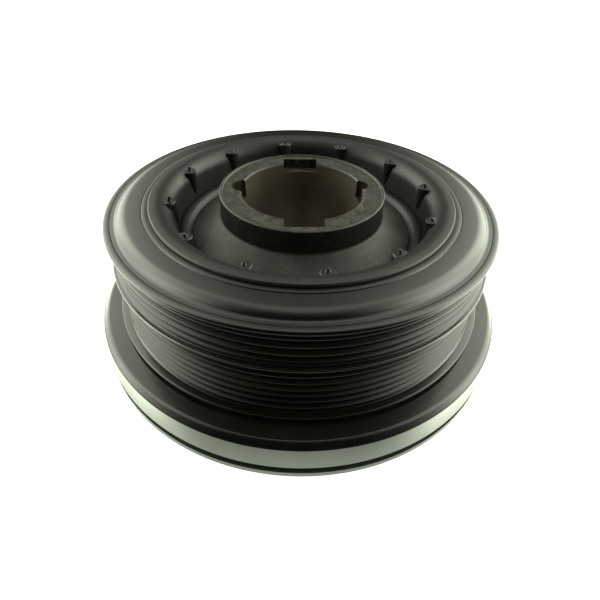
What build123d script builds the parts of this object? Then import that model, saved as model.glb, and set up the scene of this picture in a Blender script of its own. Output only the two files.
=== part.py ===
from build123d import *
import os
from math import radians, sqrt, tan

os.makedirs("parts", exist_ok=True)

# A decoupled crankshaft pulley with a torsional vibration damper, standing on its
# rear face with the hub nose up. The axis is +Z and the origin is the centre of the
# rear face. All sizes are in millimetres; "radius" is always measured from the axis.

# ---- clearances ------------------------------------------------------------------
FIT_GAP = 0.05            # radial gap left at pressed and bonded round faces
SLIDE_GAP = 0.08          # radial gap of the plain bush on the hub skirt
SWING_GAP = 0.6           # room between the rubber and the thrust ring

# ---- belt tracks (ribbed belt, K section) ----------------------------------------
RIB_PITCH = 3.56
GROOVE_HALF_ANGLE = 20.0
GROOVE_DEPTH = 2.9
GROOVE_FLOOR = 0.9
FRONT_GROOVE_COUNT = 4
REAR_GROOVE_COUNT = 6
FRONT_TRACK_RADIUS = 79.3
REAR_TRACK_RADIUS = 80.1

# ---- belt rim --------------------------------------------------------------------
RIM_SWING_GAP = 0.9       # room between the rim and the inertia ring behind it
RIM_FOOT = 1.2            # plain foot of the rim below its rear flange
REAR_FLANGE_RADIUS = 83.4
REAR_FLANGE_EDGE = 1.4
REAR_FLANGE_SLOPE = 0.4
MIDDLE_FLANGE_RADIUS = 81.6
MIDDLE_FLANGE_EDGE = 1.0
MIDDLE_COLLAR_RADIUS = 80.4
MIDDLE_COLLAR_WIDTH = 1.5
MIDDLE_FLANGE_SLOPE = 0.45
FRONT_FLANGE_RADIUS = 81.4
FRONT_FLANGE_THICKNESS = 1.75
RIM_WALL = 2.8            # metal left under the groove floors
RECESS_DEPTH = 1.0        # recess in the front flange that takes the front ring
FRONT_FLANGE_LAND = 2.8   # width of the flange outside that recess

# ---- front ring ------------------------------------------------------------------
RING_FOOT_LAND = 0.95     # flat foot of the ring beside the front flange
RING_FACE_RISE = 2.2      # height of the flat face above the front flange
RING_BAND_WIDTH = 2.3     # raised band round the mouth of the neck
RING_BAND_RISE = 0.25
RING_GROOVE_WIDTH = 0.5   # fine groove between that band and the flat face
RING_GROOVE_DEPTH = 0.4
RING_WEB = 4.0
RING_SPIGOT_WALL = 3.0
RING_SPIGOT_LENGTH = 3.4
NECK_RADIUS = 63.7        # inside of the neck that the rubber is bonded to
NECK_WALL = 3.6
NECK_BLEND = 1.0
RING_SEAM_BLEND = 0.15
RING_ROLL_SHARE = 0.85    # share of the sloping shoulder that its roll takes
RING_FOOT_SHARE = 0.12    # share of it that the hollow at its foot takes

# ---- hub -------------------------------------------------------------------------
BORE_RADIUS = 25.7
BORE_CHAMFER = 0.8
BORE_FRONT_CHAMFER = 0.4
HUB_REAR_Z = 1.5
HUB_RISE = 2.8            # how far the nose stands above the front ring
NOSE_RADIUS = 34.8
NOSE_HEIGHT = 9.9         # from the top of the web to the end of the nose
NOSE_LIP_WIDTH = 1.4
NOSE_LIP_HEIGHT = 0.6
JOURNAL_RADIUS = 33.0     # ground journal at the back of the hub
WEB_FALL = 7.35           # how far the dished web falls from the nose to its edge
WEB_EDGE_RADIUS = 47.8
WEB_THICKNESS = 8.0
INNER_RING_SEAT_DEPTH = 2.2
WEB_EDGE_STEP = 1.75      # step from the edge of the web down to the thrust land
POCKET_BLEND = 4.0        # cast corners at the bottom of the rear pocket
SKIRT_RADIUS = 71.0
SKIRT_WALL = 5.5
SKIRT_BLEND = 0.5
WEB_EDGE_BLEND = 0.3
NOSE_FOOT_BLEND = 2.0     # cast corner between the web and the nose
NOSE_EDGE_BLEND = 0.4
SKIRT_REAR_Z = 2.0
KEYWAY_WIDTH = 15.5
KEYWAY_RADIUS = 30.3
KEYWAY_DEPTH = 4.1
KEYWAY_ANGLE = 92.7
NOTCH_CENTRE_RADIUS = 25.2
NOTCH_DEPTH = 7.0
NOTCHES = ((83.8, 5.0), (-81.0, 4.0))   # angle from the keyway, radius of the notch

# ---- coupling rubber -------------------------------------------------------------
INNER_RING_WIDTH = 14.6
RUBBER_RISE = 1.7         # how far the rubber stands above the front ring
RUBBER_WALL_TOP_RADIUS = 54.9
RUBBER_WALL_FOOT_RADIUS = 53.0
RUBBER_BEAD_RADIUS = 51.0
RUBBER_BEAD_SIZE = 2.9
RUBBER_BEAD_LIFT = 0.7
RUBBER_ROLL = 7.0         # radius of the roll from the face of the rubber to its wall
RUBBER_FOOT_CHAMFER = 1.2
POST_COUNT = 12
POST_CIRCLE_RADIUS = 55.2
POST_RADIUS = 3.2
POST_FOOT_RADIUS = 1.2
POST_DROP = 1.5           # how far the posts end below the top of the rubber
POST_FIRST_ANGLE = 9.9
GATE_STUB_RADIUS = 0.7
GATE_STUB_HEIGHT = 1.8

# ---- bush and thrust ring --------------------------------------------------------
BUSH_REAR_Z = 24.0
BUSH_FRONT_GAP = 4.2      # room between the bush and the thrust land
BUSH_SLIT = 1.2
THRUST_RING_WIDTH = 5.6
THRUST_RING_THICKNESS = 2.3

# ---- inertia ring and its rubber -------------------------------------------------
DAMPER_RUBBER_WALL = 5.4
DAMPER_RUBBER_REAR_Z = 2.6
DAMPER_RUBBER_LENGTH = 12.4
DAMPER_RUBBER_HOLLOW = 0.9
INERTIA_RADIUS = 94.1
INERTIA_BAND_TOP_RADIUS = 93.0
INERTIA_FACE_Z = 19.0
INERTIA_ROLL = 1.8        # drop and width of the rolled-off outer edge of the face
INERTIA_ROLL_SHARE = 0.97 # share of the slope at that edge that the roll takes
INERTIA_STEP = 0.2        # height of the turned step under the rolled edge
INERTIA_SHOULDER_RADIUS = 92.7
INERTIA_GROOVE_LOW_Z = 3.2
INERTIA_GROOVE_WIDTH = 3.5
INERTIA_GROOVE_DEPTH = 1.2
INERTIA_EDGE_CHAMFER = 0.6
INERTIA_REAR_RECESS = 2.0
INERTIA_REAR_LAND_RADIUS = 80.5

# ---- sizes that follow from the driving ones -------------------------------------
rim_rear_z = INERTIA_FACE_Z + RIM_SWING_GAP
rear_track_z = rim_rear_z + RIM_FOOT + REAR_FLANGE_EDGE + REAR_FLANGE_SLOPE
middle_flange_z = rear_track_z + REAR_GROOVE_COUNT * RIB_PITCH
front_track_z = (
    middle_flange_z + MIDDLE_FLANGE_EDGE + MIDDLE_FLANGE_SLOPE + MIDDLE_COLLAR_WIDTH
)
front_flange_z = front_track_z + FRONT_GROOVE_COUNT * RIB_PITCH
rim_front_z = front_flange_z + FRONT_FLANGE_THICKNESS
recess_z = rim_front_z - RECESS_DEPTH
recess_radius = FRONT_FLANGE_RADIUS - FRONT_FLANGE_LAND
rim_bore_radius = FRONT_TRACK_RADIUS - GROOVE_DEPTH - RIM_WALL
skirt_inner_radius = SKIRT_RADIUS - SKIRT_WALL
inner_ring_radius = WEB_EDGE_RADIUS + FIT_GAP
inner_ring_outer_radius = inner_ring_radius + INNER_RING_WIDTH
rubber_outer_radius = NECK_RADIUS - FIT_GAP
thrust_inner_radius = rubber_outer_radius + SWING_GAP
bush_inner_radius = SKIRT_RADIUS + SLIDE_GAP
bush_outer_radius = rim_bore_radius - FIT_GAP
damper_inner_radius = SKIRT_RADIUS + FIT_GAP
damper_outer_radius = damper_inner_radius + DAMPER_RUBBER_WALL
inertia_bore_radius = damper_outer_radius + FIT_GAP
ring_face_z = rim_front_z + RING_FACE_RISE
hub_top_z = ring_face_z + HUB_RISE
nose_land_z = hub_top_z - NOSE_LIP_HEIGHT
keyway_floor_z = nose_land_z - KEYWAY_DEPTH
web_top_z = hub_top_z - NOSE_HEIGHT
web_edge_z = web_top_z - WEB_FALL
thrust_land_z = web_edge_z - WEB_EDGE_STEP
inner_ring_seat_z = thrust_land_z - INNER_RING_SEAT_DEPTH
neck_rear_z = thrust_land_z + THRUST_RING_THICKNESS
rubber_top_z = ring_face_z + RUBBER_RISE
post_top_z = rubber_top_z - POST_DROP
bush_front_z = thrust_land_z - BUSH_FRONT_GAP
band_top_z = INERTIA_FACE_Z - INERTIA_ROLL - INERTIA_STEP
corner_tangent = tan(radians(45) / 2)   # tangent length of a 45 degree corner of radius 1


def turned(corners):
    """Solid turned about Z from (radius, height, corner blend) corners."""
    outline = FilletPolyline(
        *[(radius, height) for radius, height, _ in corners],
        radius=[blend for _, _, blend in corners],
        close=True,
    )
    return revolve(make_face(Plane.XZ * outline), Axis.Z)


def sharp(*points):
    """Corners without a blend."""
    return [(radius, height, 0) for radius, height in points]


def track(start_z, grooves, tip_radius):
    """Outline of a ribbed track, from its rear end to its front end."""
    flank = GROOVE_DEPTH * tan(radians(GROOVE_HALF_ANGLE))
    crest = (RIB_PITCH - GROOVE_FLOOR - 2 * flank) / 2
    root_radius = tip_radius - GROOVE_DEPTH
    points = []
    for index in range(grooves):
        low = start_z + index * RIB_PITCH
        high = low + RIB_PITCH
        points += [
            (tip_radius, low + crest),
            (root_radius, low + crest + flank),
            (root_radius, high - crest - flank),
            (tip_radius, high - crest),
        ]
    return sharp(*points)


def belt_rim():
    """Rim with the two belt tracks, three flanges and a plain bore for the bush."""
    rear_flange_low_z = rim_rear_z + RIM_FOOT
    rear_flange_high_z = rear_flange_low_z + REAR_FLANGE_EDGE
    middle_edge_z = middle_flange_z + MIDDLE_FLANGE_EDGE
    edge_blend = REAR_FLANGE_EDGE / 3
    corners = sharp(
        (rim_bore_radius, rim_rear_z),
        (REAR_TRACK_RADIUS, rim_rear_z),
        (REAR_TRACK_RADIUS, rear_flange_low_z),
    )
    corners += [
        (REAR_FLANGE_RADIUS, rear_flange_low_z, edge_blend),
        (REAR_FLANGE_RADIUS, rear_flange_high_z, edge_blend),
    ]
    corners += sharp((REAR_TRACK_RADIUS, rear_track_z))
    corners += track(rear_track_z, REAR_GROOVE_COUNT, REAR_TRACK_RADIUS)
    corners += sharp((REAR_TRACK_RADIUS, middle_flange_z))
    corners += [
        (MIDDLE_FLANGE_RADIUS, middle_flange_z, MIDDLE_FLANGE_EDGE / 3),
        (MIDDLE_FLANGE_RADIUS, middle_edge_z, MIDDLE_FLANGE_EDGE / 3),
    ]
    corners += sharp(
        (MIDDLE_COLLAR_RADIUS, middle_edge_z + MIDDLE_FLANGE_SLOPE),
        (MIDDLE_COLLAR_RADIUS, front_track_z),
        (FRONT_TRACK_RADIUS, front_track_z),
    )
    corners += track(front_track_z, FRONT_GROOVE_COUNT, FRONT_TRACK_RADIUS)
    corners += sharp((FRONT_TRACK_RADIUS, front_flange_z))
    corners += [
        (FRONT_FLANGE_RADIUS, front_flange_z, FRONT_FLANGE_THICKNESS / 3),
        (FRONT_FLANGE_RADIUS, rim_front_z, FRONT_FLANGE_THICKNESS / 3),
    ]
    corners += sharp(
        (recess_radius, rim_front_z),
        (recess_radius, recess_z),
        (rim_bore_radius, recess_z),
    )
    return turned(corners)


def front_ring():
    """Dished front ring, pressed into the rim, whose neck carries the rubber."""
    flange_radius = recess_radius - FIT_GAP
    foot_radius = flange_radius - RING_FOOT_LAND
    shoulder_radius = foot_radius - RING_FACE_RISE
    slope = RING_FACE_RISE * sqrt(2)
    shoulder_blend = slope * RING_ROLL_SHARE / corner_tangent
    foot_blend = slope * RING_FOOT_SHARE / corner_tangent
    web_low_z = ring_face_z - RING_WEB
    spigot_radius = rim_bore_radius - FIT_GAP
    spigot_inner_radius = spigot_radius - RING_SPIGOT_WALL
    spigot_low_z = recess_z - RING_SPIGOT_LENGTH
    neck_outer_radius = NECK_RADIUS + NECK_WALL
    band_radius = NECK_RADIUS + RING_BAND_WIDTH
    face_radius = band_radius + RING_GROOVE_WIDTH
    groove_z = ring_face_z - RING_GROOVE_DEPTH
    band_z = ring_face_z + RING_BAND_RISE
    return turned(
        [
            (NECK_RADIUS, neck_rear_z, 0),
            (neck_outer_radius, neck_rear_z, NECK_BLEND / 2),
            (neck_outer_radius, web_low_z, NECK_BLEND),
            (spigot_inner_radius, web_low_z, 0),
            (spigot_inner_radius, spigot_low_z, 0),
            (spigot_radius, spigot_low_z, NECK_BLEND / 2),
            (spigot_radius, recess_z, 0),
            (flange_radius, recess_z, 0),
            (flange_radius, rim_front_z, RING_SEAM_BLEND),
            (foot_radius, rim_front_z, foot_blend),
            (shoulder_radius, ring_face_z, shoulder_blend),
            (face_radius, ring_face_z, 0),
            (face_radius, groove_z, 0),
            (band_radius, groove_z, 0),
            (band_radius, band_z, 0),
            (NECK_RADIUS, band_z, 0),
        ]
    )


def hub_body():
    """Turned hub casting: nose with its bore, dished web and outer skirt."""
    web_low_z = inner_ring_seat_z - WEB_THICKNESS
    return turned(
        [
            (BORE_RADIUS + BORE_CHAMFER, HUB_REAR_Z, 0),
            (JOURNAL_RADIUS, HUB_REAR_Z, BORE_CHAMFER),
            (JOURNAL_RADIUS, web_low_z, POCKET_BLEND),
            (skirt_inner_radius, web_low_z, POCKET_BLEND),
            (skirt_inner_radius, SKIRT_REAR_Z, 0),
            (SKIRT_RADIUS, SKIRT_REAR_Z, SKIRT_BLEND),
            (SKIRT_RADIUS, thrust_land_z, SKIRT_BLEND),
            (inner_ring_outer_radius + FIT_GAP, thrust_land_z, 0),
            (inner_ring_outer_radius + FIT_GAP, inner_ring_seat_z, 0),
            (WEB_EDGE_RADIUS, inner_ring_seat_z, 0),
            (WEB_EDGE_RADIUS, web_edge_z, WEB_EDGE_BLEND),
            (NOSE_RADIUS, web_top_z, NOSE_FOOT_BLEND),
            (NOSE_RADIUS, hub_top_z, NOSE_EDGE_BLEND),
            (NOSE_RADIUS - NOSE_LIP_WIDTH, hub_top_z, 0),
            (NOSE_RADIUS - NOSE_LIP_WIDTH, nose_land_z, 0),
            (BORE_RADIUS + BORE_FRONT_CHAMFER, nose_land_z, 0),
            (BORE_RADIUS, nose_land_z - BORE_FRONT_CHAMFER, 0),
            (BORE_RADIUS, HUB_REAR_Z + BORE_CHAMFER, 0),
        ]
    )


def hub():
    """Hub with two driver keyways and two half-round notches in its front face."""
    body = hub_body()
    slot_height = hub_top_z - keyway_floor_z
    slot = Box(2 * KEYWAY_RADIUS, KEYWAY_WIDTH, slot_height) & Cylinder(
        KEYWAY_RADIUS, slot_height
    )
    slot_z = keyway_floor_z + slot_height / 2
    body -= Rot(0, 0, KEYWAY_ANGLE) * Pos(0, 0, slot_z) * slot
    for angle, radius in NOTCHES:
        notch = Cylinder(radius, NOTCH_DEPTH + NOSE_LIP_HEIGHT)
        notch_z = hub_top_z - (NOTCH_DEPTH + NOSE_LIP_HEIGHT) / 2
        body -= Rot(0, 0, KEYWAY_ANGLE + angle) * Pos(NOTCH_CENTRE_RADIUS, 0, notch_z) * notch
    return body


def coupling_inner_ring():
    """Flat steel ring bonded under the rubber and pressed onto the hub web."""
    ring = turned(
        sharp(
            (inner_ring_radius, inner_ring_seat_z),
            (inner_ring_outer_radius, inner_ring_seat_z),
            (inner_ring_outer_radius, thrust_land_z),
            (inner_ring_radius, thrust_land_z),
        )
    )
    return ring


def coupling_rubber():
    """Rubber between the inner ring and the neck, with its bead and its posts."""
    bead_z = thrust_land_z + RUBBER_BEAD_LIFT
    body = turned(
        [
            (RUBBER_BEAD_RADIUS, thrust_land_z, 0),
            (inner_ring_outer_radius - FIT_GAP, thrust_land_z, 0),
            (rubber_outer_radius, thrust_land_z + RUBBER_FOOT_CHAMFER, 0),
            (rubber_outer_radius, rubber_top_z, 0),
            (RUBBER_WALL_TOP_RADIUS, rubber_top_z, RUBBER_ROLL),
            (RUBBER_WALL_FOOT_RADIUS, bead_z, 0),
        ]
    )
    bead = Pos(0, 0, bead_z) * Torus(RUBBER_BEAD_RADIUS, RUBBER_BEAD_SIZE)
    below = Pos(0, 0, thrust_land_z - RUBBER_BEAD_SIZE) * Cylinder(
        RUBBER_BEAD_RADIUS + 2 * RUBBER_BEAD_SIZE, 2 * RUBBER_BEAD_SIZE
    )
    inside = Pos(0, 0, bead_z) * Cylinder(inner_ring_radius, 4 * RUBBER_BEAD_SIZE)
    body += bead - below - inside
    post_height = post_top_z - bead_z
    post = Pos(POST_CIRCLE_RADIUS, 0, bead_z + post_height / 2) * Cone(
        POST_FOOT_RADIUS, POST_RADIUS, post_height
    )
    stub = Pos(POST_CIRCLE_RADIUS, 0, post_top_z) * Cylinder(
        GATE_STUB_RADIUS, 2 * GATE_STUB_HEIGHT
    )
    for index in range(POST_COUNT):
        turn = Rot(0, 0, POST_FIRST_ANGLE + index * 360 / POST_COUNT)
        body += turn * (post + stub)
    return body


def rim_bush():
    """Split plain bush on which the rim turns a few degrees on the hub skirt."""
    bush = turned(
        sharp(
            (bush_inner_radius, BUSH_REAR_Z),
            (bush_outer_radius, BUSH_REAR_Z),
            (bush_outer_radius, bush_front_z),
            (bush_inner_radius, bush_front_z),
        )
    )
    bush_length = bush_front_z - BUSH_REAR_Z
    slit = Pos(-bush_outer_radius, 0, BUSH_REAR_Z + bush_length / 2) * Box(
        SKIRT_WALL * 2, BUSH_SLIT, bush_length
    )
    return bush - slit


def thrust_ring():
    """Flat polymer ring that carries the neck of the front ring on the hub."""
    return turned(
        sharp(
            (thrust_inner_radius, thrust_land_z),
            (thrust_inner_radius + THRUST_RING_WIDTH, thrust_land_z),
            (thrust_inner_radius + THRUST_RING_WIDTH, neck_rear_z),
            (thrust_inner_radius, neck_rear_z),
        )
    )


def damper_rubber():
    """Rubber ring squeezed between the hub skirt and the inertia ring."""
    low = DAMPER_RUBBER_REAR_Z
    high = low + DAMPER_RUBBER_LENGTH
    middle_radius = (damper_inner_radius + damper_outer_radius) / 2
    outline = Polyline(
        (damper_inner_radius, high),
        (damper_inner_radius, low),
    )
    outline += ThreePointArc(
        (damper_inner_radius, low),
        (middle_radius, low + DAMPER_RUBBER_HOLLOW),
        (damper_outer_radius, low),
    )
    outline += Line((damper_outer_radius, low), (damper_outer_radius, high))
    outline += ThreePointArc(
        (damper_outer_radius, high),
        (middle_radius, high - DAMPER_RUBBER_HOLLOW),
        (damper_inner_radius, high),
    )
    return revolve(make_face(Plane.XZ * outline), Axis.Z)


def inertia_ring():
    """Heavy ring with a rolled front edge, a turned band and a groove near its rear."""
    groove_high_z = INERTIA_GROOVE_LOW_Z + INERTIA_GROOVE_WIDTH
    groove_radius = INERTIA_RADIUS - INERTIA_GROOVE_DEPTH
    slope = INERTIA_ROLL * sqrt(2)
    roll_blend = slope * INERTIA_ROLL_SHARE / corner_tangent
    return turned(
        [
            (inertia_bore_radius, INERTIA_REAR_RECESS, 0),
            (INERTIA_REAR_LAND_RADIUS - INERTIA_REAR_RECESS, INERTIA_REAR_RECESS, 0),
            (INERTIA_REAR_LAND_RADIUS, 0, 0),
            (INERTIA_RADIUS - INERTIA_EDGE_CHAMFER, 0, 0),
            (INERTIA_RADIUS, INERTIA_EDGE_CHAMFER, 0),
            (INERTIA_RADIUS, INERTIA_GROOVE_LOW_Z, 0),
            (groove_radius, INERTIA_GROOVE_LOW_Z, 0),
            (groove_radius, groove_high_z, 0),
            (INERTIA_RADIUS, groove_high_z, 0),
            (INERTIA_BAND_TOP_RADIUS, band_top_z, 0),
            (INERTIA_SHOULDER_RADIUS, band_top_z, 0),
            (INERTIA_SHOULDER_RADIUS, band_top_z + INERTIA_STEP, 0),
            (INERTIA_SHOULDER_RADIUS - INERTIA_ROLL, INERTIA_FACE_Z, roll_blend),
            (inertia_bore_radius, INERTIA_FACE_Z, 0),
        ]
    )


PIECES = {
    "hub": hub,
    "coupling_inner_ring": coupling_inner_ring,
    "coupling_rubber": coupling_rubber,
    "front_ring": front_ring,
    "belt_rim": belt_rim,
    "rim_bush": rim_bush,
    "thrust_ring": thrust_ring,
    "damper_rubber": damper_rubber,
    "inertia_ring": inertia_ring,
}

for node_name, make_piece in PIECES.items():
    export_step(make_piece(), f"parts/{node_name}.step")
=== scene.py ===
"""Looks of a decoupled crankshaft pulley with a torsional vibration damper.

The pulley stands on the rear face of its inertia ring with the hub nose up. Every size
is in millimetres until a mesh is made, and every piece is turned about the crank axis.
"""

from __future__ import annotations

import logging
import math
import random
from dataclasses import dataclass
from enum import Enum, IntEnum

import bmesh
import bpy
from mathutils import Matrix, Vector


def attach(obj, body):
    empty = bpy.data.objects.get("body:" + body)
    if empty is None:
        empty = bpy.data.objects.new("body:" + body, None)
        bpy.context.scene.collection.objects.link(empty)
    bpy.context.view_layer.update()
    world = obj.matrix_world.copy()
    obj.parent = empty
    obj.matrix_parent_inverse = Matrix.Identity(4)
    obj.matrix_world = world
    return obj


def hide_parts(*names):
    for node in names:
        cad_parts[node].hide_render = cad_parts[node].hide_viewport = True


MM = 0.001
BODY = "root"
LOG = logging.getLogger("crank_pulley")

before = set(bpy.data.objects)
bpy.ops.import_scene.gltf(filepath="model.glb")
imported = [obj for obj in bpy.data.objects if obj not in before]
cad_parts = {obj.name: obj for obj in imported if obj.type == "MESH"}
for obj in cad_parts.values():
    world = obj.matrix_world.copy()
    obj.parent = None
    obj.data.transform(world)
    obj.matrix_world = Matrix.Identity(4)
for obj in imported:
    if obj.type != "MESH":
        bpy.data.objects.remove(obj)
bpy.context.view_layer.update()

Rgb = tuple[float, float, float]
Outline = list[tuple[float, float, int]]


class Grain(Enum):
    """How the fine marks of a finish run."""

    CAST = "cast"
    ROUND = "round"
    MOULDED = "moulded"


class RimFace(IntEnum):
    """Which finish each face of the belt rim has."""

    TRACK = 0
    RING = 1
    FLANK = 2
    RUBBED = 3


class HubFace(IntEnum):
    """Which finish each face of the hub has."""

    CAST = 0
    BORE = 1
    WEB = 2
    SIDE = 3
    WORN = 4
    KEY_SEAT = 5
    NOTCH = 6


class InertiaFace(IntEnum):
    """Which finish each face of the inertia ring has."""

    DISH = 0
    BAND = 1
    GROOVE = 2


# ---- turned meshes ---------------------------------------------------------------


@dataclass(frozen=True)
class Corner:
    """A corner of a turned outline, and the finish of the face that starts at it."""

    radius: float
    height: float
    blend: float = 0.0
    finish: int = 0


def rounded(corners: list[Corner], steps: int = 5) -> Outline:
    """Lay an arc at each corner that has a blend.

    Args:
        corners: the closed outline, in order.
        steps: straight runs in each arc.

    Returns:
        Points of radius, height and finish.
    """
    points: Outline = []
    count = len(corners)
    for index, corner in enumerate(corners):
        here = Vector((corner.radius, corner.height))
        if corner.blend <= 0:
            points.append((here.x, here.y, corner.finish))
            continue
        back = Vector((corners[index - 1].radius, corners[index - 1].height)) - here
        ahead_corner = corners[(index + 1) % count]
        ahead = Vector((ahead_corner.radius, ahead_corner.height)) - here
        half = back.angle(ahead) / 2
        reach = min(corner.blend / math.tan(half), 0.9 * back.length, 0.9 * ahead.length)
        radius = reach * math.tan(half)
        centre = here + (back.normalized() + ahead.normalized()).normalized() * (
            radius / math.sin(half)
        )
        first = here + back.normalized() * reach - centre
        last = here + ahead.normalized() * reach - centre
        sweep = first.angle_signed(last)
        previous = corners[index - 1].finish
        for step in range(steps + 1):
            turn = Matrix.Rotation(-sweep * step / steps, 2)
            spot = centre + turn @ first
            band = corner.finish if step >= steps / 2 else previous
            points.append((spot.x, spot.y, band))
    return points


def lathe(
    name: str, outline: Outline, finishes: list[bpy.types.Material], segments: int = 256
) -> bpy.types.Object:
    """Turn a closed outline about the crank axis.

    Args:
        name: the piece's name.
        outline: points of radius, height and finish.
        finishes: the materials that the outline's finishes name.
        segments: steps round the axis.

    Returns:
        The new piece.
    """
    vertices = []
    faces = []
    bands = []
    rows = len(outline)
    for step in range(segments):
        angle = 2 * math.pi * step / segments
        cosine, sine = math.cos(angle) * MM, math.sin(angle) * MM
        vertices += [(r * cosine, r * sine, z * MM) for r, z, _ in outline]
    for step in range(segments):
        here, there = step * rows, (step + 1) % segments * rows
        for row in range(rows):
            after = (row + 1) % rows
            faces.append((here + row, there + row, there + after, here + after))
            bands.append(outline[row][2])
    mesh = bpy.data.meshes.new(name)
    mesh.from_pydata(vertices, [], faces)
    for material in finishes:
        mesh.materials.append(material)
    for polygon, band in zip(mesh.polygons, bands):
        polygon.material_index = band
    return linked(name, mesh)


def linked(name: str, mesh: bpy.types.Mesh) -> bpy.types.Object:
    """Link a mesh as a piece, with its faces turned outwards and its edges kept crisp.

    Args:
        name: the piece's name.
        mesh: its mesh.

    Returns:
        The new piece.
    """
    work = bmesh.new()
    work.from_mesh(mesh)
    bmesh.ops.recalc_face_normals(work, faces=work.faces)
    work.to_mesh(mesh)
    work.free()
    mesh.shade_smooth()
    mesh.set_sharp_from_angle(angle=math.radians(32))
    piece = bpy.data.objects.new(name, mesh)
    bpy.context.scene.collection.objects.link(piece)
    return piece


def post_mesh(
    work: bmesh.types.BMesh, angle: float, rings: list[tuple[float, float, float]], sides: int = 28
) -> None:
    """Add one upright round post to a mesh.

    Args:
        work: the mesh that takes the post.
        angle: where the post stands round the axis, in radians.
        rings: (distance of the post's centre from the axis, its radius, height) from the foot up.
        sides: flat faces round the post.
    """
    loops = []
    for distance, radius, height in rings:
        loop = []
        for side in range(sides):
            turn = 2 * math.pi * side / sides
            x = distance + radius * math.cos(turn)
            y = radius * math.sin(turn)
            place = Matrix.Rotation(angle, 3, "Z") @ Vector((x, y, height))
            loop.append(work.verts.new(place * MM))
        loops.append(loop)
    for low, high in zip(loops, loops[1:]):
        for side in range(sides):
            after = (side + 1) % sides
            work.faces.new((low[side], low[after], high[after], high[side]))
    work.faces.new(list(reversed(loops[0])))
    work.faces.new(loops[-1])


def cut(piece: bpy.types.Object, tool: bpy.types.Object) -> None:
    """Take the tool's shape out of a piece and drop the tool.

    Args:
        piece: the piece that is cut.
        tool: the shape that is taken out.
    """
    bpy.context.view_layer.update()
    modifier = piece.modifiers.new("cut", "BOOLEAN")
    modifier.operation = "DIFFERENCE"
    modifier.solver = "EXACT"
    modifier.object = tool
    result = bpy.data.meshes.new_from_object(
        piece.evaluated_get(bpy.context.evaluated_depsgraph_get())
    )
    piece.modifiers.remove(modifier)
    old = piece.data
    piece.data = result
    bpy.data.meshes.remove(old)
    bpy.data.objects.remove(tool)


def settle(piece: bpy.types.Object, material_slot: str, *nodes: str) -> None:
    """Put a finished piece on the pulley.

    Args:
        piece: the piece.
        material_slot: not used.
        nodes: the solids that it stands for.
    """
    if nodes:
        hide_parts(*nodes)
    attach(piece, BODY)
    LOG.info("%s: %d faces", piece.name, len(piece.data.polygons))


# ---- finishes --------------------------------------------------------------------


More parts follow.
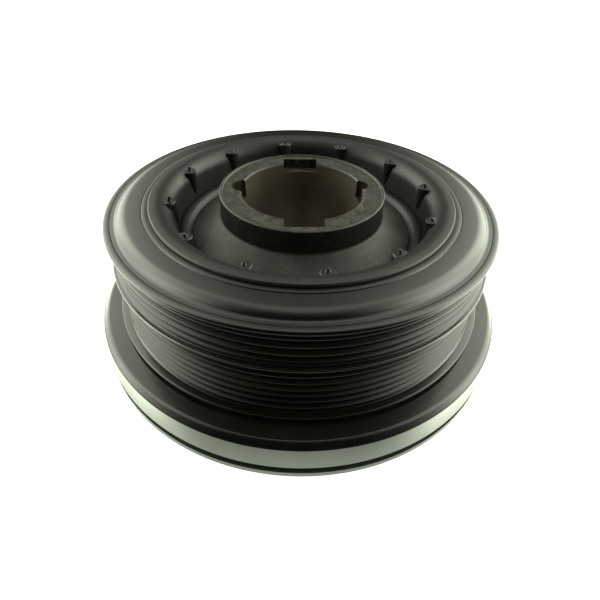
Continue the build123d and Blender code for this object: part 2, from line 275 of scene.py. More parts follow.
class Board:
    """A material's nodes, with short calls for what the finishes share."""

    SLANT = 1.37  # height against radius in turned marks, so that flats and walls both show them

    def __init__(self, name: str) -> None:
        """Start a material with one shader.

        Args:
            name: the material's name.
        """
        self.material = bpy.data.materials.new(name)
        self.material.use_nodes = True
        self.tree = self.material.node_tree
        self.tree.nodes.clear()
        self.shader = self.tree.nodes.new("ShaderNodeBsdfPrincipled")
        output = self.tree.nodes.new("ShaderNodeOutputMaterial")
        self.tree.links.new(self.shader.outputs["BSDF"], output.inputs["Surface"])
        self.place = self.tree.nodes.new("ShaderNodeTexCoord").outputs["Object"]
        self._axes = self.tree.nodes.new("ShaderNodeSeparateXYZ")
        self.tree.links.new(self.place, self._axes.inputs[0])

    def feed(self, socket: bpy.types.NodeSocket, value: object) -> None:
        """Link or set one input.

        Args:
            socket: the input.
            value: an output to link, or a constant.
        """
        if isinstance(value, bpy.types.NodeSocket):
            self.tree.links.new(value, socket)
        else:
            socket.default_value = value

    def math(self, kind: str, *values: object) -> bpy.types.NodeSocket:
        """Work one sum on up to three values.

        Args:
            kind: the sum's name in Blender.
            values: outputs or constants.

        Returns:
            The result.
        """
        node = self.tree.nodes.new("ShaderNodeMath")
        node.operation = kind
        for socket, value in zip(node.inputs, values):
            self.feed(socket, value)
        return node.outputs[0]

    @property
    def height(self) -> bpy.types.NodeSocket:
        """Height above the rear face.

        Returns:
            The height, in metres.
        """
        return self._axes.outputs["Z"]

    @property
    def radius(self) -> bpy.types.NodeSocket:
        """Distance from the crank axis.

        Returns:
            The distance, in metres.
        """
        across = self.math("MULTIPLY", self._axes.outputs["X"], self._axes.outputs["X"])
        along = self.math("MULTIPLY", self._axes.outputs["Y"], self._axes.outputs["Y"])
        return self.math("SQRT", self.math("ADD", across, along))

    def noise(self, size: float, detail: float = 3.0, roughness: float = 0.55) -> bpy.types.NodeSocket:
        """Make cloudy marks.

        Args:
            size: about how far across they are, in millimetres.
            detail: layers of finer marks.
            roughness: how strong the finer ones are.

        Returns:
            A value from 0 to 1.
        """
        node = self.tree.nodes.new("ShaderNodeTexNoise")
        node.inputs["Scale"].default_value = 1 / (size * MM)
        node.inputs["Detail"].default_value = detail
        node.inputs["Roughness"].default_value = roughness
        self.tree.links.new(self.place, node.inputs["Vector"])
        return node.outputs["Fac"]

    def cells(self, size: float) -> bpy.types.NodeSocket:
        """Make scattered grains.

        Args:
            size: about how far apart they lie, in millimetres.

        Returns:
            The distance to the nearest grain.
        """
        node = self.tree.nodes.new("ShaderNodeTexVoronoi")
        node.inputs["Scale"].default_value = 1 / (size * MM)
        self.tree.links.new(self.place, node.inputs["Vector"])
        return node.outputs["Distance"]

    def rings(self, pitch: float, detail: float = 2.0) -> bpy.types.NodeSocket:
        """Make uneven marks that run round the axis.

        Args:
            pitch: about how far apart they lie, in millimetres.
            detail: layers of finer marks.

        Returns:
            A value from 0 to 1.
        """
        node = self.tree.nodes.new("ShaderNodeTexNoise")
        node.noise_dimensions = "1D"
        node.inputs["Scale"].default_value = 1 / (pitch * MM)
        node.inputs["Detail"].default_value = detail
        across = self.math("ADD", self.radius, self.math("MULTIPLY", self.height, self.SLANT))
        self.tree.links.new(across, node.inputs["W"])
        return node.outputs["Fac"]

    def spread(
        self, value: object, low: float, high: float, start: float, end: float
    ) -> bpy.types.NodeSocket:
        """Map a value from one range to another, held at both ends.

        Args:
            value: what is mapped.
            low: where the first range starts.
            high: where it ends.
            start: what `low` becomes.
            end: what `high` becomes.

        Returns:
            The mapped value.
        """
        node = self.tree.nodes.new("ShaderNodeMapRange")
        for socket, item in zip(node.inputs, (value, low, high, start, end)):
            self.feed(socket, item)
        return node.outputs[0]

    def blend(self, share: object, first: object, second: object) -> bpy.types.NodeSocket:
        """Mix two colours.

        Args:
            share: how much of the second colour there is.
            first: the first colour, or an output.
            second: the second colour, or an output.

        Returns:
            The mixed colour.
        """
        node = self.tree.nodes.new("ShaderNodeMix")
        node.data_type = "RGBA"
        self.feed(node.inputs["Factor"], share)
        for socket, colour in zip((node.inputs[6], node.inputs[7]), (first, second)):
            self.feed(socket, (*colour, 1.0) if isinstance(colour, tuple) else colour)
        return node.outputs[2]

    def emboss(self, height: object, depth: float) -> None:
        """Raise the surface.

        Args:
            height: the marks that are raised, from 0 to 1.
            depth: how far a mark of 1 stands up, in millimetres.
        """
        node = self.tree.nodes.new("ShaderNodeBump")
        node.inputs["Strength"].default_value = 1.0
        node.inputs["Distance"].default_value = depth * MM
        self.feed(node.inputs["Height"], height)
        self.tree.links.new(node.outputs[0], self.shader.inputs["Normal"])

    def set(self, **sockets: object) -> None:
        """Set or link the shader's sockets.

        Args:
            sockets: constants or outputs, named as the sockets are with underscores for blanks.
        """
        for name, value in sockets.items():
            socket = self.shader.inputs[name.replace("_", " ")]
            if isinstance(value, tuple):
                value = (*value, 1.0)
            self.feed(socket, value)


@dataclass(frozen=True)
class Finish:
    """A finish with two shades, a sheen range and fine marks.

    Sizes and depths are in millimetres. `polish` is the roughness in the low and the high marks.
    """

    name: str
    dark: Rgb
    light: Rgb
    cloud: float = 9.0
    polish: tuple[float, float] = (0.35, 0.55)
    metal: float = 0.0
    grain: Grain = Grain.MOULDED
    grain_size: float = 0.6
    grain_depth: float = 0.05
    gloss: float = 0.5
    speck: Rgb | None = None
    speck_share: float = 0.66

    def material(self) -> bpy.types.Material:
        """Make the material.

        Returns:
            The new material.
        """
        board = Board(self.name)
        cloud = board.noise(self.cloud, 4.0)
        share = board.spread(cloud, 0.35, 0.68, 0.0, 1.0)
        if self.grain is Grain.ROUND:
            marks = board.rings(self.grain_size, 3.0)
            share = board.math("MULTIPLY_ADD", marks, 0.7, board.math("MULTIPLY", share, 0.45))
            height = marks
        elif self.grain is Grain.CAST:
            pits = board.cells(self.grain_size)
            height = board.math("ADD", pits, board.noise(self.grain_size * 2.4, 3.0, 0.7))
            share = board.math("MULTIPLY_ADD", pits, 0.5, board.math("MULTIPLY", share, 0.6))
        else:
            height = board.noise(self.grain_size, 3.0, 0.6)
        colour = board.blend(share, self.dark, self.light)
        if self.speck is not None:
            dust = board.noise(self.grain_size * 1.7, 5.0, 0.75)
            patch = board.noise(self.cloud * 1.6, 2.0)
            both = board.math("MULTIPLY", dust, board.spread(patch, 0.4, 0.62, 0.75, 1.15))
            spot = board.spread(both, self.speck_share - 0.05, self.speck_share + 0.06, 0.0, 1.0)
            colour = board.blend(spot, colour, self.speck)
        low, high = self.polish
        board.set(
            Base_Color=colour,
            Metallic=self.metal,
            Roughness=board.spread(height, 0.3, 0.75, low, high),
            Specular_IOR_Level=self.gloss,
        )
        board.emboss(height, self.grain_depth)
        return board.material


class Finishes:
    """Every finish on the pulley, made once."""

    def __init__(self) -> None:
        """Make the materials."""
        self.ring_paint = Finish(
            "black_ring_paint", (0.0033, 0.0034, 0.0028), (0.0088, 0.009, 0.0079), cloud=14.0,
            polish=(0.18, 0.28), grain_size=0.5, grain_depth=0.006, gloss=1.00,
            speck=(0.0329, 0.0351, 0.0285), speck_share=0.74,
        ).material()
        self.track_paint = Finish(
            "black_track_paint", (0.0050, 0.0034, 0.0022), (0.0085, 0.0062, 0.0044), cloud=6.0,
            polish=(0.14, 0.24), grain=Grain.ROUND, grain_size=0.35, grain_depth=0.010, gloss=1.00,
        ).material()
        self.rib_flank = Finish(
            "dull_rib_flank", (0.0060, 0.0038, 0.0023), (0.0105, 0.0072, 0.0048), cloud=6.0,
            polish=(0.20, 0.36), grain=Grain.ROUND, grain_size=0.35, grain_depth=0.02, gloss=0.8,
        ).material()
        self.rubbed_edge = Finish(
            "rubbed_steel_edge", (0.09, 0.09, 0.085), (0.20, 0.20, 0.19), cloud=8.0,
            polish=(0.22, 0.34), metal=1.0, grain=Grain.ROUND, grain_size=0.3, grain_depth=0.01,
        ).material()
        self.rubber = Finish(
            "moulded_coupling_rubber", (0.0026, 0.0028, 0.0023), (0.0079, 0.0081, 0.007), cloud=5.0,
            polish=(0.38, 0.54), grain_size=0.45, grain_depth=0.02, gloss=0.74,
            speck=(0.0265, 0.0278, 0.0225), speck_share=0.68,
        ).material()
        self.hub_cast = Finish(
            "cast_hub_face", (0.004, 0.0039, 0.0031), (0.078, 0.0737, 0.0605), cloud=4.0,
            polish=(0.32, 0.54), grain=Grain.CAST, grain_size=0.9, grain_depth=0.20, gloss=0.32,
            speck=(0.0998, 0.0938, 0.0738), speck_share=0.62,
        ).material()
        self.hub_side = Finish(
            "black_hub_side", (0.0030, 0.0028, 0.0021), (0.0150, 0.0132, 0.0105), cloud=7.0,
            polish=(0.36, 0.54), grain=Grain.CAST, grain_size=0.9, grain_depth=0.09, gloss=0.38,
            speck=(0.05, 0.043, 0.033), speck_share=0.66,
        ).material()
        self.hub_web = Finish(
            "cast_web", (0.030, 0.0305, 0.027), (0.082, 0.083, 0.075), cloud=8.0,
            polish=(0.28, 0.44), grain=Grain.CAST, grain_size=0.7, grain_depth=0.04, gloss=0.28,
            speck=(0.168, 0.168, 0.146), speck_share=0.70,
        ).material()
        self.bore = Finish(
            "machined_bore", (0.110, 0.093, 0.072), (0.165, 0.144, 0.115), cloud=20.0,
            polish=(0.28, 0.36), metal=0.4, grain_size=0.9, grain_depth=0.002, gloss=0.4,
        ).material()
        self.worn_edge = Finish(
            "worn_cast_edge", (0.008, 0.0078, 0.0066), (0.085, 0.083, 0.075), cloud=2.5,
            polish=(0.3, 0.5), metal=0.1, grain=Grain.CAST, grain_size=0.6, grain_depth=0.05, gloss=0.72,
        ).material()
        # Milled key floor, coloured lighter than the bore: partly milled metal, partly painted light on
        # the up-facing floor.
        self.key_floor_painted_light = Finish(
            "milled_key_floor_painted_light", (0.20, 0.185, 0.155), (0.32, 0.30, 0.26), cloud=4.0,
            polish=(0.4, 0.55), metal=0.3, grain_size=0.6, grain_depth=0.02,
        ).material()
        # Dark brown matte finish for the notches, also laid on the keyway walls, where it is painted
        # shade.
        self.dark_notch_and_key_wall_shade = Finish(
            "dark_notch_and_painted_key_wall_shade", (0.008, 0.0067, 0.004), (0.075, 0.0625, 0.041), cloud=2.5,
            polish=(0.6, 0.8), grain=Grain.CAST, grain_size=1.0, grain_depth=0.3, gloss=0.06,
        ).material()
        self.dish_paint = Finish(
            "black_face_paint", (0.0068, 0.0063, 0.0051), (0.0113, 0.0107, 0.009), cloud=12.0,
            polish=(0.17, 0.26), grain_size=0.5, grain_depth=0.006, gloss=0.91,
        ).material()
        self.bare_band = Finish(
            "turned_band", (0.468, 0.494, 0.458), (0.614, 0.645, 0.609), cloud=18.0,
            polish=(0.20, 0.28), metal=1.0, grain=Grain.ROUND, grain_size=0.25, grain_depth=0.006,
        ).material()
        # The turned groove is coloured far darker than the bare band around it.
        self.dark_groove_finish = Finish(
            "dark_turned_groove", (0.012, 0.017, 0.011), (0.045, 0.055, 0.040),
            polish=(0.5, 0.7), grain=Grain.ROUND, grain_size=0.4, grain_depth=0.02, gloss=0.51,
        ).material()
        self.damper_rubber = Finish(
            "damper_rubber", (0.012, 0.012, 0.012), (0.024, 0.024, 0.023), cloud=4.0,
            polish=(0.55, 0.7), grain_size=0.5, grain_depth=0.03,
        ).material()
        self.polymer = Finish(
            "bearing_polymer", (0.06, 0.06, 0.065), (0.09, 0.09, 0.10),
            polish=(0.35, 0.5), grain_size=0.8, grain_depth=0.01,
        ).material()
        self.phosphate = Finish(
            "phosphated_steel", (0.035, 0.036, 0.036), (0.06, 0.06, 0.06), cloud=3.0,
            polish=(0.5, 0.65), metal=0.5, grain_size=0.4, grain_depth=0.01,
        ).material()


# ---- pieces ----------------------------------------------------------------------


@dataclass
class BeltRim:
    """Rim with a four-groove and a six-groove belt track between three flanges."""

    finishes: Finishes
    pitch: float = 3.56
    depth: float = 2.9
    floor: float = 0.9
    groove_half_angle: float = 20.0
    rear_grooves: int = 6
    front_grooves: int = 4
    bore: float = 73.6
    rear: float = 19.9
    rear_track: float = 22.9
    rear_tip: float = 80.1
    front_tip: float = 79.3
    rear_flange: float = 83.9
    middle_flange: float = 81.75
    collar: float = 80.45
    collar_rise: float = 2.95
    front_flange: float = 81.4
    flange_thickness: float = 1.75
    recess: float = 78.6
    recess_depth: float = 1.0

    def track(self, start: float, grooves: int, tip: float) -> list[Corner]:
        """Lay out the ribs of one track.

        Args:
            start: height of the track's rear end.
            grooves: number of grooves.
            tip: radius over the ribs.

        Returns:
            The track's corners from rear to front.
        """
        flank = self.depth * math.tan(math.radians(self.groove_half_angle))
        crest = (self.pitch - self.floor - 2 * flank) / 2
        corners = []
        for index in range(grooves):
            low = start + index * self.pitch
            high = low + self.pitch
            corners += [
                Corner(tip, low + crest, 0.22, RimFace.FLANK),
                Corner(tip - self.depth, low + crest + flank, 0.2, RimFace.FLANK),
                Corner(tip - self.depth, high - crest - flank, 0.2, RimFace.FLANK),
                Corner(tip, high - crest, 0.22, RimFace.TRACK),
            ]
        return corners

    def build(self) -> None:
        """Build the rim and put it on the pulley."""
        middle = self.rear_track + self.rear_grooves * self.pitch
        front_track = middle + self.collar_rise
        flange = front_track + self.front_grooves * self.pitch
        top = flange + self.flange_thickness
        corners = [
            Corner(self.bore, self.rear),
            Corner(self.rear_tip, self.rear, 0.2),
            Corner(self.rear_tip, self.rear + 1.0, 0.2),
            Corner(self.rear_flange, self.rear + 1.0, 0.4),
            Corner(self.rear_flange, self.rear + 2.4, 0.4),
            Corner(self.rear_tip + 0.7, self.rear + 2.3, 0.2),
            Corner(self.rear_tip + 0.1, self.rear_track, 0.2),
            *self.track(self.rear_track, self.rear_grooves, self.rear_tip),
            Corner(self.rear_tip, middle, 0.1),
            Corner(self.middle_flange, middle + 1.0, 0.3),
            Corner(self.middle_flange, middle + 1.35, 0, RimFace.RUBBED),
            Corner(self.middle_flange, middle + 1.95, 0.55),
            Corner(self.collar, middle + 1.9, 0.1),
            Corner(self.collar, front_track - 0.1, 0.35),
            Corner(self.front_tip, front_track + 0.1, 0.1),
            *self.track(front_track, self.front_grooves, self.front_tip),
            Corner(self.front_tip, flange, 0.2),
            Corner(self.front_flange, flange, 0.5, RimFace.RING),
            Corner(self.front_flange, top, 0.9, RimFace.RING),
            Corner(self.recess, top, 0.15, RimFace.RING),
            Corner(self.recess, top - self.recess_depth, 0.0, RimFace.RING),
            Corner(self.bore, top - self.recess_depth),
        ]
        finishes = self.finishes
        paints = [
            finishes.track_paint,
            finishes.ring_paint,
            finishes.rib_flank,
            finishes.rubbed_edge,
        ]
        piece = lathe("rim_with_tracks", rounded(corners, 3), paints, 288)
        settle(piece, "black_steel", "belt_rim")


@dataclass
class FrontRing:
    """Dished ring pressed into the rim, with a flat face and a rolled shoulder."""

    finishes: Finishes
    rim_top: float = 63.2
    seat: float = 78.55
    seat_depth: float = 1.0
    neck: float = 63.7
    neck_outer: float = 67.3
    neck_low: float = 51.5
    web: float = 4.0
    spigot_inner: float = 70.55
    spigot_outer: float = 73.55
    spigot_low: float = 4.4
    rise: float = 2.2
    foot_land: float = 2.0
    shoulder: float = 2.0
    shoulder_roll: float = 6.6
    groove_depth: float = 0.15

    def build(self) -> None:
        """Build the ring and put it on the pulley."""
        top = self.rim_top + self.rise
        foot = self.seat - self.foot_land
        spigot_low = self.rim_top - self.spigot_low
        corners = [
            Corner(self.neck, self.neck_low),
            Corner(self.neck_outer, self.neck_low, 0.5),
            Corner(self.neck_outer, top - self.web, 1.0),
            Corner(self.spigot_inner, top - self.web),
            Corner(self.spigot_inner, spigot_low),
            Corner(self.spigot_outer, spigot_low, 0.5),
            Corner(self.spigot_outer, self.rim_top - self.seat_depth),
            Corner(self.seat, self.rim_top - self.seat_depth),
            Corner(self.seat, self.rim_top, 0.12),
            Corner(foot, self.rim_top, 2.0),
            Corner(foot - self.shoulder, top, self.shoulder_roll),
            Corner(66.55, top, 0.15),
            Corner(66.45, top - self.groove_depth, 0.05),
            Corner(66.15, top - self.groove_depth, 0.05),
            Corner(65.95, top + 0.2, 0.15),
            Corner(65.0, top + 0.25, 0.3),
            Corner(self.neck, top + 0.2, 0.2),
        ]
        piece = lathe("rolled_front_ring", rounded(corners, 12), [self.finishes.ring_paint], 288)
        settle(piece, "black_steel", "front_ring")


@dataclass
class Coupling:
    """Rubber bonded between hub and neck, with a bead at its foot and a ring of posts."""

    finishes: Finishes
    foot: float = 49.2
    top: float = 67.1
    outer: float = 63.65
    bead_circle: float = 51.0
    bead_size: float = 2.9
    bead_lift: float = 0.7
    bead_start: float = 34.0
    bead_step: float = 10.0
    bead_points: int = 12
    web_edge: tuple[float, float] = (48.0, 50.9)
    posts: int = 12
    post_circle: float = 55.2
    post_top: float = 65.6
    first_angle: float = 9.9

    def wall(self) -> Outline:
        """Lay out the turned section with its bead.

        Returns:
            The section's points.
        """
        seam = self.foot + self.bead_lift
        corners = [
            Corner(62.4, self.foot),
            Corner(self.outer, self.foot + 1.2),
            Corner(self.outer, self.top - 0.9, 0.2),
            Corner(self.outer - 0.45, self.top - 0.25, 0.5),
            Corner(54.9, self.top, 7.0),
            Corner(53.2, seam + 1.9, 0.6),
            Corner(53.0, seam + 1.6),
        ]
        points = rounded(corners, 12)
        for step in range(self.bead_points):
            turn = math.radians(self.bead_start + step * self.bead_step)
            reach, rise = self.bead_size * math.cos(turn), self.bead_size * math.sin(turn)
            points.append((self.bead_circle + reach, seam + rise, 0))
        edge, edge_top = self.web_edge
        points += [(edge, edge_top, 0), (edge, self.foot, 0)]
        return points

    def add_posts(self, work: bmesh.types.BMesh) -> None:
        """Add the tapered posts and their torn gates.

        Args:
            work: the mesh that takes them.
        """
        top, circle = self.post_top, self.post_circle
        chance = random.Random(7)
        for index in range(self.posts):
            turn = math.radians(self.first_angle + index * 360 / self.posts)
            swell = chance.uniform(-0.15, 0.35)
            rings = [
                (circle + 0.1, 1.3, self.foot + 0.7),
                (circle + 0.2, 2.5 + swell, self.foot + 8.4),
                (circle + 0.4, 3.05 + swell, top - 1.1),
                (circle + 0.4, 3.05, top - 0.35),
                (circle + 0.5, 2.7, top),
            ]
            post_mesh(work, turn, rings)
            lean = chance.uniform(-0.5, 0.3)
            tall = chance.uniform(0.7, 1.9)
            stub = [
                (circle, 1.3, top - 0.2),
                (circle, 0.95, top + 0.3),
                (circle + lean * 0.5, 0.75, top + tall * 0.7),
                (circle + lean, 0.65, top + tall),
            ]
            post_mesh(work, turn, stub)

    def build(self) -> None:
        """Build the rubber and put it on the pulley."""
        piece = lathe("rubber_with_posts", self.wall(), [self.finishes.rubber], 288)
        work = bmesh.new()
        work.from_mesh(piece.data)
        self.add_posts(work)
        work.to_mesh(piece.data)
        work.free()
        piece.data.shade_smooth()
        piece.data.set_sharp_from_angle(angle=math.radians(40))
        settle(piece, "coupling_rubber", "coupling_rubber")


@dataclass
class Hub:
    """Cast hub: keyed and notched nose, machined bore, dished web, skirt and journal."""

    finishes: Finishes
    bore: float = 25.7
    nose: float = 34.8
    top: float = 68.2
    land: float = 67.6
    key_floor: float = 63.5
    key_width: float = 15.5
    key_reach: float = 30.3
    key_angle: float = 92.7
    key_bar: float = 12.0
    notches: tuple[tuple[float, float], ...] = ((83.8, 5.0), (-81.0, 4.0))
    notch_circle: float = 25.2
    notch_low: float = 60.1
    notch_high: float = 72.0
    rear: float = 1.5
    journal: float = 33.0
    pocket: float = 65.5
    pocket_top: float = 39.0
    skirt: float = 71.0
    skirt_low: float = 2.0
    thrust_land: float = 49.2
    inner_ring: float = 62.5
    inner_ring_seat: float = 47.0
    web_edge: float = 47.8
    web_edge_top: float = 50.95
    web_top: float = 58.3
    chamfer: float = 0.35
    lip: float = 0.25

    def section(self) -> Outline:
        """Lay out the turned section.

        Returns:
            The section's points.
        """
        corners = [
            Corner(self.bore + 0.8, self.rear, 0, HubFace.BORE),
            Corner(self.journal, self.rear, 0.8, HubFace.BORE),
            Corner(self.journal, self.pocket_top, 4.0, HubFace.WEB),
            Corner(self.pocket, self.pocket_top, 4.0, HubFace.WEB),
            Corner(self.pocket, self.skirt_low, 0, HubFace.BORE),
            Corner(self.skirt, self.skirt_low, 0.6, HubFace.BORE),
            Corner(self.skirt, self.thrust_land, 0.4, HubFace.WEB),
            Corner(self.inner_ring, self.thrust_land, 0, HubFace.WEB),
            Corner(self.inner_ring, self.inner_ring_seat, 0, HubFace.WEB),
            Corner(self.web_edge, self.inner_ring_seat, 0, HubFace.WEB),
            Corner(self.web_edge, self.web_edge_top, 0.3, HubFace.WEB),
            Corner(self.nose + 0.2, self.web_top, 1.6, HubFace.SIDE),
            Corner(self.nose, 65.0, 0.5, HubFace.SIDE),
            Corner(self.nose, self.top - self.chamfer, 0.1, HubFace.WORN),
            Corner(self.nose - self.chamfer, self.top, 0.1, HubFace.CAST),
            Corner(33.7, self.top, 0.1, HubFace.WORN),
            Corner(33.35, self.land, 0.1, HubFace.CAST),
            Corner(self.bore + 1.2, self.land, 0.2, HubFace.CAST),
            Corner(self.bore + 1.0, self.land + self.lip, 0.1, HubFace.CAST),
            Corner(self.bore + 0.5, self.land + self.lip, 0, HubFace.WORN),
            Corner(self.bore, self.land - self.chamfer, 0, HubFace.BORE),
            Corner(self.bore, 2.3, 0, HubFace.BORE),
        ]
        return rounded(corners, 5)

    def keyway_tool(self) -> bpy.types.Object:
        """Make the bar that cuts both keyways.

        Returns:
            The bar.
        """
        mesh = bpy.data.meshes.new("key_bar")
        work = bmesh.new()
        bmesh.ops.create_cube(work, size=1.0)
        size = Vector((2 * self.key_reach, self.key_width, self.key_bar)) * MM
        bmesh.ops.scale(work, vec=size, verts=work.verts)
        work.to_mesh(mesh)
        work.free()
        tool = bpy.data.objects.new("key_bar", mesh)
        tool.rotation_euler.z = math.radians(self.key_angle)
        tool.location.z = (self.key_floor + self.key_bar / 2) * MM
        bpy.context.scene.collection.objects.link(tool)
        return tool

    def notch_tool(self, angle: float, radius: float) -> bpy.types.Object:
        """Make the round cutter of one notch.

        Args:
            angle: where the notch is, in degrees.
            radius: its radius.

        Returns:
            The cutter.
        """
        mesh = bpy.data.meshes.new("notch_cutter")
        work = bmesh.new()
        ends = [(self.notch_circle, radius, height) for height in (self.notch_low, self.notch_high)]
        post_mesh(work, math.radians(angle), ends)
        work.to_mesh(mesh)
        work.free()
        tool = bpy.data.objects.new("notch_cutter", mesh)
        bpy.context.scene.collection.objects.link(tool)
        return tool

    def finish_cuts(self, piece: bpy.types.Object) -> None:
        """Give the walls of the keyways and the notches their finishes. The up-facing key floor gets the
        light milled finish as painted light, and the key walls get the dark notch finish as painted
        shade.

        Args:
            piece: the hub with its cuts made.
        """
        along = Matrix.Rotation(-math.radians(self.key_angle), 3, "Z")
        for polygon in piece.data.polygons:
            spot = along @ polygon.center / MM
            reach = math.hypot(spot.x, spot.y)
            inside = self.bore + 0.05 < reach < self.key_reach + 0.6
            if not inside or not self.notch_low - 0.2 < spot.z < self.land - 0.02:
                continue
            # Keyway: the flat floor gets the light milled finish (painted light), the walls get the dark
            # notch finish (painted shade).
            if abs(spot.y) < self.key_width / 2 + 0.05:
                flat = abs(polygon.normal.z) > 0.9
                polygon.material_index = HubFace.KEY_SEAT if flat else HubFace.NOTCH
            elif reach > self.bore + 0.3 or spot.z < self.notch_low + 0.1:
                polygon.material_index = HubFace.NOTCH

    def build(self) -> None:
        """Build the hub and put it on the pulley."""
        finishes = self.finishes
        paints = [
            finishes.hub_cast,
            finishes.bore,
            finishes.hub_web,
            finishes.hub_side,
            finishes.worn_edge,
            finishes.key_floor_painted_light,
            finishes.dark_notch_and_key_wall_shade,
        ]
        piece = lathe("keyed_hub", self.section(), paints, 256)
        cut(piece, self.keyway_tool())
        for turn, radius in self.notches:
            cut(piece, self.notch_tool(self.key_angle + turn, radius))
        self.finish_cuts(piece)
        piece.data.shade_smooth()
        piece.data.set_sharp_from_angle(angle=math.radians(32))
        settle(piece, "cast_hub", "hub")


@dataclass
class InertiaRing:
    """Heavy ring: painted face with a rolled edge over a bare turned band and a groove."""

    finishes: Finishes
    outer: float = 94.1
    bore: float = 76.55
    rear_land: float = 80.5
    rear_recess: float = 2.0
    groove_low: float = 3.2
    groove_high: float = 6.7
    groove_depth: float = 1.2
    band_top: float = 16.75
    band_top_radius: float = 93.0
    face: float = 19.0
    face_roll: float = 1.9
    rubber_bore: float = 71.05
    rubber_outer: float = 76.45
    rubber_low: float = 2.6
    rubber_high: float = 15.0
    rubber_hollow: float = 0.9

    def build(self) -> None:
        """Build the ring and its rubber and put them on the pulley."""
        corners = [
            Corner(self.bore, self.rear_recess, 0, InertiaFace.BAND),
            Corner(self.rear_land - self.rear_recess, self.rear_recess, 0, InertiaFace.BAND),
            Corner(self.rear_land, 0.0, 0, InertiaFace.BAND),
            Corner(self.outer - 0.6, 0.0, 0, InertiaFace.BAND),
            Corner(self.outer, 0.6, 0.3, InertiaFace.BAND),
            Corner(self.outer, self.groove_low, 0.15, InertiaFace.GROOVE),
            Corner(self.outer - self.groove_depth, self.groove_low, 0.1, InertiaFace.GROOVE),
            Corner(self.outer - self.groove_depth, self.groove_high, 0.1, InertiaFace.GROOVE),
            Corner(self.outer, self.groove_high, 0.15, InertiaFace.BAND),
            Corner(self.band_top_radius, self.band_top, 0.1, InertiaFace.DISH),
            Corner(92.7, self.band_top, 0, InertiaFace.DISH),
            Corner(92.65, self.band_top + 0.2, 0.05, InertiaFace.DISH),
            Corner(90.75, self.face, self.face_roll, InertiaFace.DISH),
            Corner(self.bore, self.face, 0.0, InertiaFace.DISH),
        ]
        finishes = self.finishes
        paints = [finishes.dish_paint, finishes.bare_band, finishes.dark_groove_finish]
        piece = lathe("banded_inertia_ring", rounded(corners, 12), paints, 320)
        settle(piece, "inertia_iron", "inertia_ring")
        self.build_rubber()

    def build_rubber(self) -> None:
        """Build the squeezed rubber ring that carries the inertia ring."""
        inner, outer, low, high = self.rubber_bore, self.rubber_outer, self.rubber_low, self.rubber_high
        corners = [
            Corner(inner, low),
            Corner((inner + outer) / 2, low + self.rubber_hollow, 4.0),
            Corner(outer, low),
            Corner(outer, high),
            Corner((inner + outer) / 2, high - self.rubber_hollow, 4.0),
            Corner(inner, high),
        ]
        piece = lathe("squeezed_rubber", rounded(corners, 6), [self.finishes.damper_rubber], 192)
        settle(piece, "damper_rubber", "damper_rubber")


@dataclass
class InnerFittings:
    """The bonded ring, the bush and the thrust ring inside the pulley."""

    finishes: Finishes

    def dress(self) -> None:
        """Give the solids inside the pulley their finishes."""
        wear = {
            "coupling_inner_ring": self.finishes.phosphate,
            "rim_bush": self.finishes.polymer,
            "thrust_ring": self.finishes.polymer,
        }
        for node, material in wear.items():
            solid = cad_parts[node]
            solid.data.materials.clear()
            solid.data.materials.append(material)
            LOG.info("%s: dressed", node)


# ---- studio ----------------------------------------------------------------------


@dataclass(frozen=True)
class SoftLight:
    """A round soft light on the wall of the tent, bright in the middle and fading out.

    Azimuth and height are in degrees. Azimuth runs from +X towards +Y.
    """

    azimuth: float
    height: float
    strength: float

    def towards(self) -> tuple[float, float, float]:
        """Give the direction of its middle.

        Returns:
            A vector of length one.
        """
        turn, rise = math.radians(self.azimuth), math.radians(self.height)
        return (math.cos(turn) * math.cos(rise), math.sin(turn) * math.cos(rise), math.sin(rise))


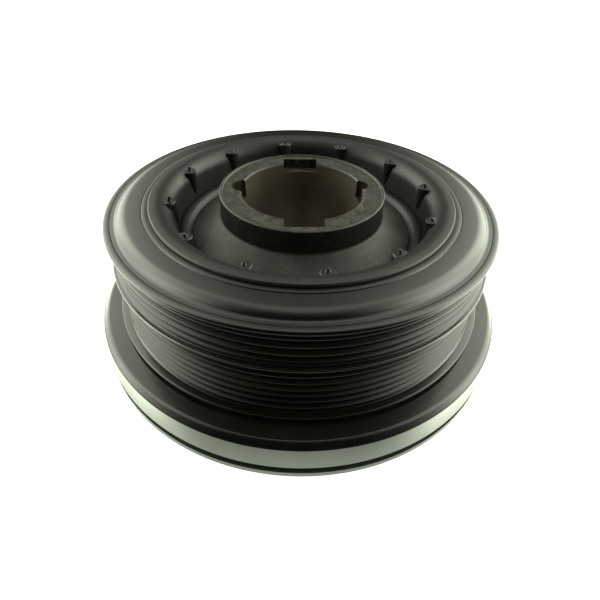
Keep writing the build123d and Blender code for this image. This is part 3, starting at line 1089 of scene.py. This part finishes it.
@dataclass
class Studio:
    """Pale floor, a tent lit softly from both sides, and the camera.

    The floor's size is in metres. The higher `fade` is, the smaller each soft light.
    """

    floor_size: float = 8.0
    floor_drop: float = 0.0001
    lens_px: float = 428.69
    frame_px: float = 600.0
    centre_px: tuple[float, float] = (298.37, 315.01)
    seat: tuple[float, float, float] = (0.0, -169.333, 152.416)
    pitch: float = 42.991
    yaw: float = -0.0143
    roll: float = 1.6705
    fade: float = 18.0
    tint: Rgb = (0.875, 0.92, 0.765)
    right_wall: SoftLight = SoftLight(22, 0, 3.0)
    left_wall: SoftLight = SoftLight(158, 0, 2.7)
    overhead: SoftLight = SoftLight(90, 75, 0.9)
    floor_glow: SoftLight = SoftLight(-90, -55, 0.3)
    glow_turns: tuple[float, ...] = (-70.0, -35.0, 0.0, 35.0, 70.0)
    wall_heights: tuple[float, ...] = (-28.0, -6.0, 16.0, 38.0)
    half_wall: float = 20.0

    def lay_floor(self) -> None:
        """Lay the floor that the pulley stands on."""
        mesh = bpy.data.meshes.new("floor")
        half = self.floor_size / 2
        mesh.from_pydata(
            [(-half, -half, 0), (half, -half, 0), (half, half, 0), (-half, half, 0)],
            [],
            [(0, 1, 2, 3)],
        )
        board = Board("pale_floor")
        shade = board.blend(board.noise(400.0), (0.93, 0.93, 0.93), (0.95, 0.95, 0.95))
        board.set(
            Base_Color=shade, Roughness=0.8, Emission_Color=(1.0, 1.0, 1.0), Emission_Strength=1.0
        )
        mesh.materials.append(board.material)
        floor = bpy.data.objects.new("floor", mesh)
        floor.location.z = -self.floor_drop
        floor.visible_glossy = False
        floor.visible_diffuse = False
        bpy.context.scene.collection.objects.link(floor)

    def soft_lights(self) -> list[SoftLight]:
        """List the light overhead, the two side walls and the floor's glow in front.

        Returns:
            Every soft light of the tent.
        """
        lamps = [self.overhead]
        for wall in (self.right_wall, self.left_wall):
            for turn in (-self.half_wall, self.half_wall):
                for height in self.wall_heights:
                    lamps.append(SoftLight(wall.azimuth + turn, height, wall.strength))
        for turn in self.glow_turns:
            glow = self.floor_glow
            lamps.append(SoftLight(glow.azimuth + turn, glow.height, glow.strength))
        return lamps

    def hang_tent(self) -> None:
        """Light the tent with its soft lights, and show plain white where the floor ends."""
        world = bpy.data.worlds.new("tent")
        bpy.context.scene.world = world
        world.use_nodes = True
        tree = world.node_tree
        tree.nodes.clear()
        place = tree.nodes.new("ShaderNodeTexCoord").outputs["Generated"]

        def work(kind: str, *values: object) -> bpy.types.NodeSocket:
            """Work one sum of the tent's light.

            Args:
                kind: the sum's name in Blender.
                values: outputs or constants.

            Returns:
                The result.
            """
            node = tree.nodes.new("ShaderNodeMath")
            node.operation = kind
            for socket, value in zip(node.inputs, values):
                if isinstance(value, bpy.types.NodeSocket):
                    tree.links.new(value, socket)
                else:
                    socket.default_value = value
            return node.outputs[0]

        light: object = 0.0
        for lamp in self.soft_lights():
            facing = tree.nodes.new("ShaderNodeVectorMath")
            facing.operation = "DOT_PRODUCT"
            tree.links.new(place, facing.inputs[0])
            facing.inputs[1].default_value = lamp.towards()
            away = work("MULTIPLY_ADD", facing.outputs["Value"], self.fade, -self.fade)
            light = work("MULTIPLY_ADD", work("EXPONENT", away), lamp.strength, light)
        background = tree.nodes.new("ShaderNodeBackground")
        background.inputs["Color"].default_value = (*self.tint, 1.0)
        tree.links.new(light, background.inputs["Strength"])
        backdrop = tree.nodes.new("ShaderNodeBackground")
        backdrop.inputs["Color"].default_value = (1.0, 1.0, 1.0, 1.0)
        path = tree.nodes.new("ShaderNodeLightPath")
        either = tree.nodes.new("ShaderNodeMixShader")
        tree.links.new(path.outputs["Is Camera Ray"], either.inputs[0])
        tree.links.new(background.outputs[0], either.inputs[1])
        tree.links.new(backdrop.outputs[0], either.inputs[2])
        output = tree.nodes.new("ShaderNodeOutputWorld")
        tree.links.new(either.outputs[0], output.inputs["Surface"])

    def set_camera(self) -> None:
        """Stand the camera in front of the pulley, above it and tipped down."""
        data = bpy.data.cameras.new("camera")
        data.sensor_width = 36.0
        data.lens = self.lens_px / self.frame_px * data.sensor_width
        data.shift_x = (self.frame_px / 2 - self.centre_px[0]) / self.frame_px
        data.shift_y = (self.centre_px[1] - self.frame_px / 2) / self.frame_px
        data.clip_start = 0.01
        data.clip_end = 50.0
        pitch, yaw, roll = (math.radians(v) for v in (self.pitch, self.yaw, self.roll))
        ahead = Vector(
            (math.sin(yaw) * math.cos(pitch), math.cos(yaw) * math.cos(pitch), -math.sin(pitch))
        )
        level = Vector((math.cos(yaw), -math.sin(yaw), 0.0))
        right = math.cos(roll) * level + math.sin(roll) * level.cross(ahead)
        above = right.cross(ahead)
        camera = bpy.data.objects.new("camera", data)
        turn = Matrix((right, above, -ahead)).transposed()
        camera.matrix_world = Matrix.Translation(Vector(self.seat) * MM) @ turn.to_4x4()
        bpy.context.scene.collection.objects.link(camera)
        bpy.context.scene.camera = camera

    def build(self) -> None:
        """Set up the floor, the light, the camera and the colour view."""
        self.lay_floor()
        self.hang_tent()
        self.set_camera()
        view = bpy.context.scene.view_settings
        view.view_transform = "Standard"
        view.look = "None"


def main() -> None:
    """Build the pulley from the outside in, then the studio."""
    logging.basicConfig(level=logging.INFO, format="%(name)s: %(message)s")
    finishes = Finishes()
    BeltRim(finishes).build()
    FrontRing(finishes).build()
    Coupling(finishes).build()
    Hub(finishes).build()
    InertiaRing(finishes).build()
    InnerFittings(finishes).dress()
    Studio().build()


if __name__ == "__main__":
    main()
